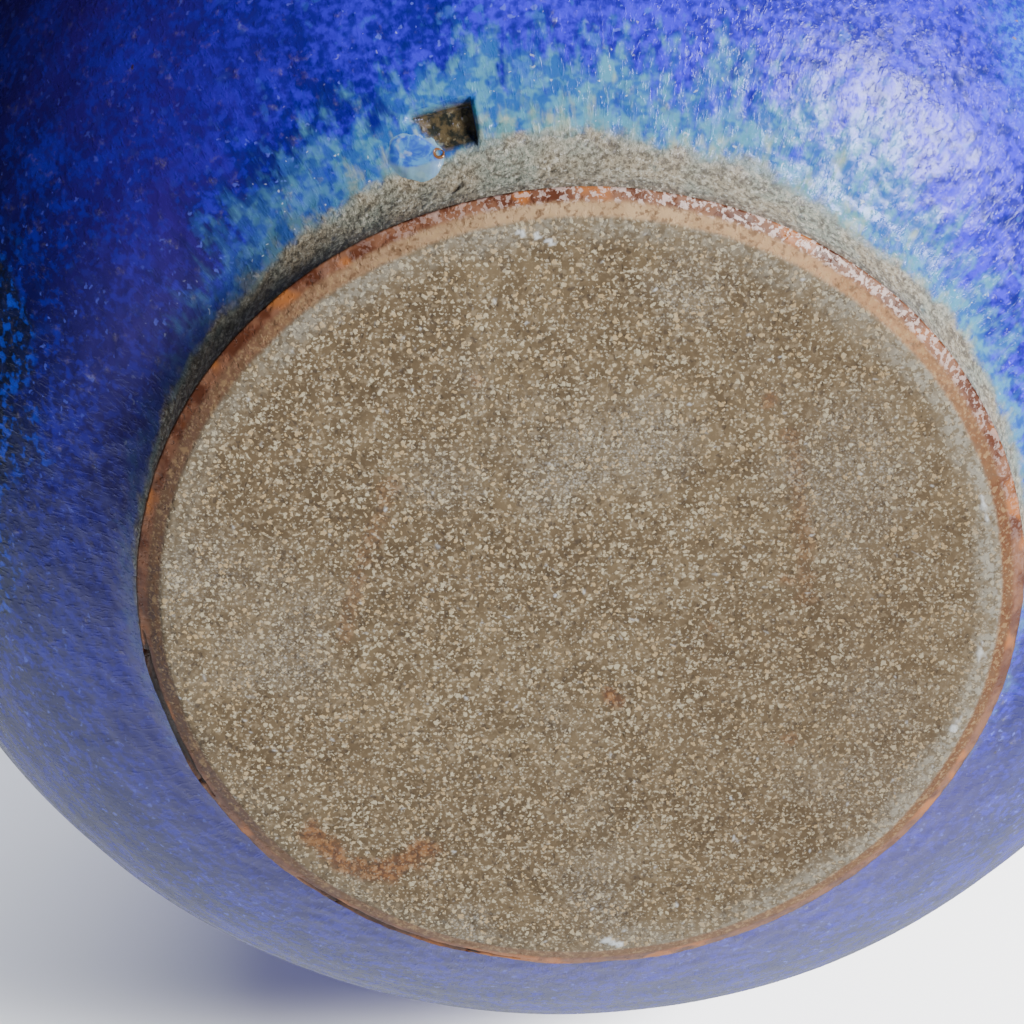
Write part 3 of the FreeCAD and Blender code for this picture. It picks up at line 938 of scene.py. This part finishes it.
def inner_stoneware():
    """Clay of the wall where a seal or a chip lets it show: dark, vitrified and flecked with gold-brown."""
    g = Graph("inner_stoneware")
    fine = g.noise(0.9, 2, 3, 0.6)
    ground = g.between(fine, 0.4, 0.62, (0.06, 0.04, 0.024), (0.19, 0.125, 0.055))
    ground = g.mix(g.specks(0.9, 0.1, 0.26, 6, 0.6) * 0.75, ground, (0.38, 0.29, 0.15))
    ground = g.mix(g.step(g.noise(2.4, 3), 0.5, 0.64, 0, 0.7), ground, (0.045, 0.06, 0.05))
    coarse = g.bump(g.noise(1.6, 12, 3, 0.6), 0.25, 0.7)
    normal = g.bump(g.noise(0.35, 4, 3, 0.6), 0.1, 0.8, coarse)
    return g.dress(ground, g.step(fine, 0.3, 0.7, 0.32, 0.62), normal)


def blue_ground(g, painted_lit_side, fleck, cloud):
    """Ultramarine with painted shade: navy on the side away from the key light, with dark patches and pale
    specks.
    """
    grainy = fleck * 0.6 + cloud * 0.4
    blue = g.between(grainy, 0.4, 0.6, (0.016, 0.008, 0.34), (0.04, 0.014, 0.9))
    dark = g.between(grainy, 0.44, 0.62, (0.007, 0.005, 0.09), (0.016, 0.012, 0.38))
    # Painted shade: the blue darkens to navy on the side away from the key light.
    blue = g.between(painted_lit_side + (cloud - 0.5) * 0.8, -0.05, 0.95, dark, blue)
    blue = g.mix(g.step(g.noise(1.3, 3), 0.56, 0.68, 0, 0.75), blue, (0.01, 0.012, 0.16))
    return g.mix(g.specks(1.1, 0.12, 0.3, 4, 0.35) * 0.6, blue, (0.12, 0.16, 0.86))


def turquoise_mottling(g, climb):
    """Near the foot: grey-green that passes through pale foam into turquoise as it climbs, darkened on the
    left by painted shade.
    """
    foam = g.between(g.noise(0.7, 7, 2, 0.6), 0.4, 0.64, (0.11, 0.29, 0.34), (0.33, 0.43, 0.38))
    colour = g.between(g.noise(0.9, 9, 2, 0.6), 0.42, 0.62, (0.022, 0.115, 0.43), (0.085, 0.31, 0.49))
    colour = g.between(climb, -0.1, 0.42, foam, colour)
    colour = g.between(climb, -0.75, -0.15, (0.245, 0.24, 0.18), colour)
    # Painted shade on the left of the turquoise.
    return g.mix(g.side(-40, 22) * 0.35, colour, (0.05, 0.07, 0.11))


def tinted_sides(g, blue, climb, cloud):
    """Pale flakes with painted glints where the key light's highlight falls, violet on the left, azure on
    the right and murk far on the left.
    """
    # Partly flakes in the glaze and partly painted glints: only on the side where the key light's highlight
    # falls.
    flakes_and_glints = g.step(g.streaked(0.22, 0.28, 18), 0.53, 0.66) * g.step(g.z, 60, 20, 0.15, 1)
    blue = g.mix(flakes_and_glints * g.side(30, 30) * 0.24, blue, (0.3, 0.28, 0.95))
    violet = g.side(-42, 30) * g.step(climb, 0.9, 2)
    blue = g.mix(violet * 0.7, blue, (0.03, 0.004, 0.23))
    azure = g.step(g.side(45, 16) * g.bell(g.z, 28, 12) + (cloud - 0.5) * 0.8, 0.2, 1)
    azure_colour = g.between(g.noise(0.34, 21, 2, 0.6), 0.4, 0.62, (0.01, 0.04, 0.62), (0.036, 0.2, 0.9))
    blue = g.mix(azure * 0.8, blue, azure_colour)
    blue = g.mix(g.specks(1.6, 0.1, 0.26, 19, 0.3) * azure, blue, (0.3, 0.2, 0.08))
    murk = g.step(g.side(-82, 34) * g.bell(g.z, 24, 13) + (cloud - 0.5) * 1.4, 0.25, 0.6)
    murk_colour = g.between(g.noise(0.6, 20), 0.5, 0.66, (0.01, 0.014, 0.026), (0.016, 0.06, 0.62))
    return g.mix(murk * 0.85, blue, murk_colour)


def thick_glaze_colour(g, fleck):
    """The thick coat: ultramarine with darker and lighter flecks, and turquoise mottling near the foot."""
    cloud = g.noise(4.5, 2, 3, 0.55, 0.6)
    # Painted light and shade: 1 on the side that faces the key light and -1 on the side away from it.
    painted_lit_side = g.math("COSINE", g.turn - math.radians(35))
    right, front = g.side(50, 60), g.side(-4, 70)
    lit = (right + front).clamped()
    climb = (g.z - (6.6 + front * 2.4)) / (2.6 + front * 2.9 + right * 1.9)
    climb = climb + (g.streaked(0.9, 1.3, 5) - 0.5) * 2.4 + (g.noise(5, 6) - 0.5)
    milky = g.step(climb, 0.55, 1.25, 1, 0) * (lit * 0.6 + 0.4)
    blue = g.mix(milky, blue_ground(g, painted_lit_side, fleck, cloud), turquoise_mottling(g, climb))
    stray = g.step(g.noise(1.2, 15), 0.62, 0.7) * g.step(g.z, 14, 34, 0.45, 0) * lit
    blue = g.mix(stray, blue, (0.05, 0.18, 0.7))
    foam_specks = g.specks(1.3, 0.08, 0.2, 16, 0.5) * g.step(climb, 0.2, 2.2, 0.75, 0)
    blue = tinted_sides(g, g.mix(foam_specks, blue, (0.56, 0.64, 0.8)), climb, cloud)
    # Painted light: near the foot, on the side away from the key light, the navy turns a greyer violet.
    painted_light_by_foot = g.step(painted_lit_side, -0.1, 0.35, 1, 0) * g.step(g.z, 7, 20, 1, 0)
    blue = g.mix(painted_light_by_foot * 0.65, blue, (0.072, 0.05, 0.24))
    return g.mix(g.specks(5.2, 0.16, 0.42, 8, 0.28) * 0.85, blue, (0.03, 0.018, 0.012))


def break_at_lip(g, colour):
    """Over the lip's sharp turn the glaze thins and breaks through turquoise to tan."""
    top = cad_high.z / MM
    height = g.z + (g.noise(3.5, 31, 3, 0.6) - 0.5) * 2.6
    colour = g.mix(g.step(height, top - 9.5, top - 2.4) * 0.85, colour, (0.07, 0.21, 0.5))
    return g.mix(g.step(height, top - 1.9, top - 0.5, 0, 0.8), colour, (0.24, 0.18, 0.11))


def thin_glaze_colour(g):
    """The thin glaze by the foot: gritty, grey-green, darker on the left, with painted shade darkest at the
    slots.
    """
    fine = g.noise(0.8, 41, 3, 0.65)
    grit = g.noise(0.3, 44, 3, 0.7)
    left = g.step(g.turn, math.radians(-70), math.radians(-28), 1, 0)
    # Painted shade: near black where the glaze meets the two slots round the foot's edge.
    slot_shade = g.step(g.side(-107, 15) + g.side(-147, 10), 0.1, 0.5) * g.step(g.z, 3.6, 4.3, 1, 0)
    sage = g.between(g.noise(3, 42), 0.4, 0.62, (0.34, 0.29, 0.205), (0.27, 0.29, 0.235))
    sage = g.mix(left * 0.85, sage, (0.24, 0.185, 0.135))
    sage = g.mix(g.step(g.z + (fine - 0.5) * 3, 3.2, 5.2, 0.75, 0), sage, (0.165, 0.12, 0.088))
    sage = g.mix(slot_shade, sage, (0.035, 0.012, 0.008))
    sage = g.mix(g.step(fine, 0.46, 0.66, 0, 0.75), sage, (0.15, 0.13, 0.095))
    sage = g.mix(g.step(grit, 0.4, 0.5, 0.7, 0), sage, (0.085, 0.07, 0.048))
    sage = g.mix(g.step(grit, 0.53, 0.64, 0, 0.8), sage, (0.48, 0.45, 0.36))
    return g.mix(g.specks(0.6, 0.08, 0.2, 43, 0.5) * 0.7, sage, (0.56, 0.54, 0.47))


def bare_seal_colour(g):
    """The seal's floor, where hardly any glaze stayed: dark olive, with gold-brown grit."""
    ground = g.between(g.noise(0.7, 81, 3, 0.6), 0.42, 0.6, (0.022, 0.024, 0.018), (0.105, 0.078, 0.04))
    return g.mix(g.specks(0.8, 0.14, 0.32, 82, 0.6) * 0.6, ground, (0.21, 0.18, 0.11))


def outer_glaze(name):
    """Both outer skins share this: thin grey-green by the foot, thick and blue above its uneven edge."""
    g = Graph(name)
    thick, pits, seal = g.marks()
    fleck = g.noise(0.55, 1, 2, 0.55)
    coat = break_at_lip(g, thick_glaze_colour(g, fleck))
    cover = g.step(thick + (g.noise(0.9, 51, 3, 0.6) - 0.5) * 1.5, 0.12, 0.88)
    thin_cover = 1 - cover
    fringe = g.bell(thick, 0.35, 0.42) * g.step(g.noise(1.4, 52), 0.4, 0.6)
    colour = g.mix(cover, thin_glaze_colour(g), coat)
    colour = g.mix(fringe * 0.55, colour, (0.2, 0.27, 0.26))
    colour = g.mix(seal, colour, bare_seal_colour(g))
    colour = g.mix(pits, colour, (0.09, 0.045, 0.02))
    roughness = thin_cover * 0.26 + g.step(fleck, 0.35, 0.7, 0.2, 0.33)
    peel = g.noise(0.5, 53) * 0.4 + g.step(g.streaked(0.22, 0.32, 55), 0.5, 0.7) * 0.3
    sand = g.noise(0.3, 44, 3, 0.7) * thin_cover * 2.2
    normal = g.bump(peel + sand, 0.11, 0.85, g.bump(g.streaked(1.3, 2.2, 54), 0.12, 0.6))
    return g.dress(
        colour,
        roughness,
        normal,
        IOR=1.42,
        Specular_Tint=(0.36, 0.43, 1),
        Coat_Weight=0.09,
        Coat_Roughness=0.17,
        Coat_Tint=(0.92, 0.94, 1),
        Coat_Normal=normal,
    )


def liner_glaze():
    """The glaze inside: the same blue, a little greyer, pooled paler at the bottom and broken at the lip."""
    g = Graph("liner_glaze")
    fleck = g.noise(0.6, 61, 2, 0.55)
    cloud = g.noise(6, 62, 3, 0.55, 0.5)
    blue = g.between(fleck * 0.5 + cloud * 0.5, 0.4, 0.6, (0.02, 0.02, 0.2), (0.05, 0.075, 0.46))
    blue = g.mix(g.step(g.z, 14, 26, 0.5, 0), blue, (0.09, 0.26, 0.52))
    roughness = g.step(fleck, 0.35, 0.7, 0.2, 0.34)
    normal = g.bump(g.noise(0.5, 64), 0.06, 0.6, g.bump(g.noise(2.4, 63), 0.16, 0.5))
    return g.dress(break_at_lip(g, blue), roughness, normal, Coat_Weight=0.5, Coat_Roughness=0.14, IOR=1.5)


def pool_glaze():
    """The glaze pooled in the seal: pale sky blue with white edges and a brown-ringed crater."""
    g = Graph("pool_glaze")
    burnt, shore, _ = g.marks()
    cloud = g.noise(0.9, 71, 3, 0.6, 0.8)
    blue = g.between(cloud, 0.38, 0.62, (0.03, 0.1, 0.56), (0.09, 0.32, 0.7))
    blue = g.mix(g.step(g.noise(0.7, 72), 0.58, 0.7, 0, 0.5), blue, (0.42, 0.56, 0.66))
    pale = g.step(shore + (g.noise(1.2, 74) - 0.5), 0.3, 1.1, 0, 0.75)
    blue = g.mix(pale, blue, (0.24, 0.4, 0.44))
    blue = g.mix(g.step(burnt, 0.15, 0.6), blue, (0.16, 0.07, 0.026))
    roughness = g.step(cloud, 0.3, 0.7, 0.14, 0.28)
    normal = g.bump(g.noise(0.8, 73), 0.16, 0.8)
    return g.dress(blue, roughness, normal, Coat_Weight=0.4, Coat_Roughness=0.15, IOR=1.45)


# Pieces.


def dress(made, material, slot_name):
    """Gives a piece or a CAD node its only material. A piece also rides the root."""
    made.data.materials.clear()
    made.data.materials.append(material)
    if slot_name:
        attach(made, "root")


def build_pieces():
    foot = make_foot()
    mark_foot(foot)
    dress(foot, bare_stoneware(), "bare_stoneware")
    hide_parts("foot_slab")
    band, coat = make_outer_skins()
    for made, node, slot_name in (
        (band, "foot_glaze_band", "foot_glaze"),
        (coat, "glaze_coat", "blue_glaze"),
    ):
        mark_skin(made)
        dress(made, outer_glaze(slot_name), slot_name)
        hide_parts(node)
    liner = make_liner()
    dress(liner, liner_glaze(), "liner_glaze")
    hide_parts("liner_glaze")
    pool = make_pool()
    dress(pool, pool_glaze(), "pool_glaze")
    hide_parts("seal_glaze_pool")
    clay = inner_stoneware()
    for node in ("lower_wall", "shoulder_wall", "neck_collar", "lip_ring"):
        dress(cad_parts[node], clay, None)


# Stage, light and camera.

SHEET_REACH = 3
SHEET_LEVEL = 0.7
SHEET_FADE = (0.9, 2.6)
FLOOR_HEIGHT = -0.4 * MM
TABLE_PLACE = BELLY_RADIUS + 0.8 * MM

# The light on a surface that faces the key light, as a multiple of the surface's own colour.
KEY_LEVEL = 2.2
KEY_SIZE = 0.36
LIGHT_DISTANCE = 1.2
KEY_DIRECTION = Vector((0.68, -0.49, -0.55)).normalized()
TABLE_LIGHT_DIRECTION = Vector((0.9, -0.34, -0.26)).normalized()
TABLE_FILL_DIRECTION = Vector((-0.25, -0.89, 0.33)).normalized()
TOP_DIRECTION = Vector((-0.35, 0.25, 0.9)).normalized()

CAMERA_PLACE = Vector((-0.01264, -0.16612, -0.29275))
CAMERA_TARGET = Vector((-0.0078, -0.0124, 0))
CAMERA_LENS = 105.47


def sheet_material(name, glow, centre):
    """A pale matt sheet with a faint even glow. It shows only its front, and fades out far from the vase."""
    g = Nodes(bpy.data.materials.new(name))
    place = g.add("ShaderNodeTexCoord", output="Object")
    away = g.add("ShaderNodeVectorMath", {0: place, 1: centre}, "Value", operation="DISTANCE")
    behind = g.add("ShaderNodeNewGeometry", output="Backfacing")
    hidden = g.math("MAXIMUM", g.step(away, *SHEET_FADE), behind)
    matt = g.add("ShaderNodeBsdfDiffuse", {"Color": (SHEET_LEVEL, SHEET_LEVEL, SHEET_LEVEL)})
    even = g.add("ShaderNodeEmission", {"Strength": glow})
    lit = g.add("ShaderNodeAddShader", {0: matt, 1: even})
    clear = g.add("ShaderNodeBsdfTransparent")
    return g.finish(g.add("ShaderNodeMixShader", {0: hidden, 1: lit, 2: clear}))


def stage_sheet(name, corner_at, material):
    """A flat square sheet of the stage. It catches shadows and is seen, and does nothing else."""
    sides = ((-1, -1), (1, -1), (1, 1), (-1, 1))
    corners = [corner_at(a * SHEET_REACH, b * SHEET_REACH) for a, b in sides]
    made = make_object(name, corners, [(0, 1, 2, 3)], smooth=False)
    made.data.materials.append(material)
    made.visible_shadow = False
    made.visible_diffuse = False
    made.visible_glossy = False
    made.visible_transmission = False
    return made


def build_world():
    """Plain and pale to the camera. Its light comes from the table's side, most of it from the right."""
    g = Nodes(bpy.data.worlds.new("studio"))
    bpy.context.scene.world = g.owner
    x, y, z = g.split("ShaderNodeSeparateXYZ", g.add("ShaderNodeTexCoord", output="Generated"))
    table_side = g.step(y, 0.18, 0.58, 0.04, 1.05)
    foot_side = g.step(z, -0.3, 0.75, 1.5, 0.42)
    right_side = g.step(x, -0.4, 0.25, 1.2, 1.82)
    strength = table_side * foot_side * right_side
    light = g.add("ShaderNodeBackground", {"Color": (0.92, 0.97, 1), "Strength": strength})
    shown = g.add("ShaderNodeBackground", {"Color": (0.97, 1, 0.99), "Strength": 3.2})
    seen = g.add("ShaderNodeLightPath", output="Is Camera Ray")
    g.finish(g.add("ShaderNodeMixShader", {0: seen, 1: light, 2: shown}))


def area_light(name, direction, distance, size, level, colour=(1, 1, 1)):
    """A square light that gives that level on a surface that faces it at the vase's foot."""
    data = bpy.data.lights.new(name, "AREA")
    data.size = size
    data.energy = level * math.pi**2 * distance**2
    data.color = colour
    made = bpy.data.objects.new(name, data)
    bpy.context.scene.collection.objects.link(made)
    made.location = direction * distance
    made.rotation_euler = direction.to_track_quat("Z", "Y").to_euler()
    return made


def build_lights(table):
    """The table has two lights of its own, which light nothing else, and the key light leaves it out."""
    key = area_light("key_light", KEY_DIRECTION, LIGHT_DISTANCE, KEY_SIZE, KEY_LEVEL, (1, 0.985, 0.96))
    wash = area_light("table_light", TABLE_LIGHT_DIRECTION, LIGHT_DISTANCE, 0.5, 15)
    fill = area_light("table_fill", TABLE_FILL_DIRECTION, LIGHT_DISTANCE, 1.2, 2.05, (0.86, 0.91, 1))
    only_table = bpy.data.collections.new("lit_by_table_lights")
    only_table.objects.link(table)
    wash.light_linking.receiver_collection = only_table
    fill.light_linking.receiver_collection = only_table
    all_but_table = bpy.data.collections.new("not_lit_by_key_light")
    all_but_table.objects.link(table)
    all_but_table.collection_objects[0].light_linking.link_state = "EXCLUDE"
    key.light_linking.receiver_collection = all_but_table
    area_light("top_light", TOP_DIRECTION, 1.6, 0.9, 1.1)


def build_camera():
    """Below and in front of the foot. The table's direction, +Y, is down in the picture."""
    forward = (CAMERA_TARGET - CAMERA_PLACE).normalized()
    right = forward.cross(Vector((0, -1, 0))).normalized()
    above = right.cross(forward)
    data = bpy.data.cameras.new("camera")
    data.sensor_width = 36
    data.lens = CAMERA_LENS
    data.clip_start = 0.01
    camera = bpy.data.objects.new("camera", data)
    bpy.context.scene.collection.objects.link(camera)
    turned = Matrix((right, above, -forward)).transposed().to_4x4()
    camera.matrix_world = Matrix.Translation(CAMERA_PLACE) @ turned
    bpy.context.scene.camera = camera


build_pieces()
floor_paint = sheet_material("floor_paint", 0.8, (0, 0, FLOOR_HEIGHT))
stage_sheet("stage_floor", lambda x, y: (x, y, FLOOR_HEIGHT), floor_paint)
table_paint = sheet_material("table_paint", 0.1, (0, TABLE_PLACE, 0))
stage_table = stage_sheet("stage_table", lambda x, z: (x, TABLE_PLACE, z), table_paint)
build_world()
build_lights(stage_table)
build_camera()

bpy.context.view_layer.update()
